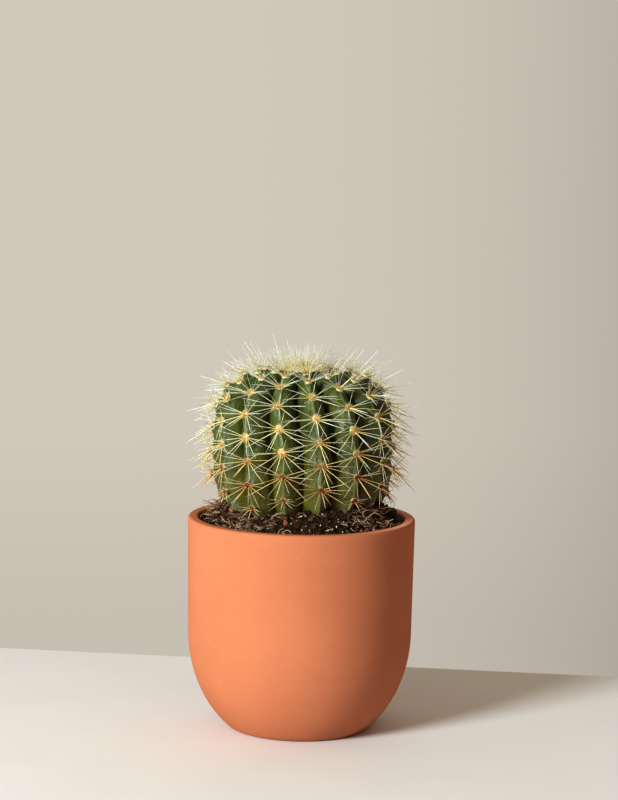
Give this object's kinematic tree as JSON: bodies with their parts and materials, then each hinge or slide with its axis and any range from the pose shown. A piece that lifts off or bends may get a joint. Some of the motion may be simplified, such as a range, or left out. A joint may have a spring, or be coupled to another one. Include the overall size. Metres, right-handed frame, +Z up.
{
  "type": "potted round cactus",
  "caption": "Squat ribbed barrel cactus with spine clusters and a woolly crown, growing in soil in a plain round-bottomed terracotta pot.",
  "frame": {"origin": "middle of the pot's foot, on the surface that the pot stands on", "axes": "+Z up through the pot and the plant, -Y towards the front that the picture shows, +X to its right"},
  "size_m": [0.1342, 0.134, 0.2216],
  "materials": {
    "terracotta": "matte",
    "potting_mix": "matte",
    "cactus_skin": "satin",
    "wool": "matte",
    "spine": "satin",
    "perlite": "matte",
    "bark": "matte"
  },
  "bodies": {
    "root": {"pot": "terracotta", "soil": "potting_mix", "cactus": "cactus_skin", "crown_wool": "wool"}
  },
  "joints": []
}
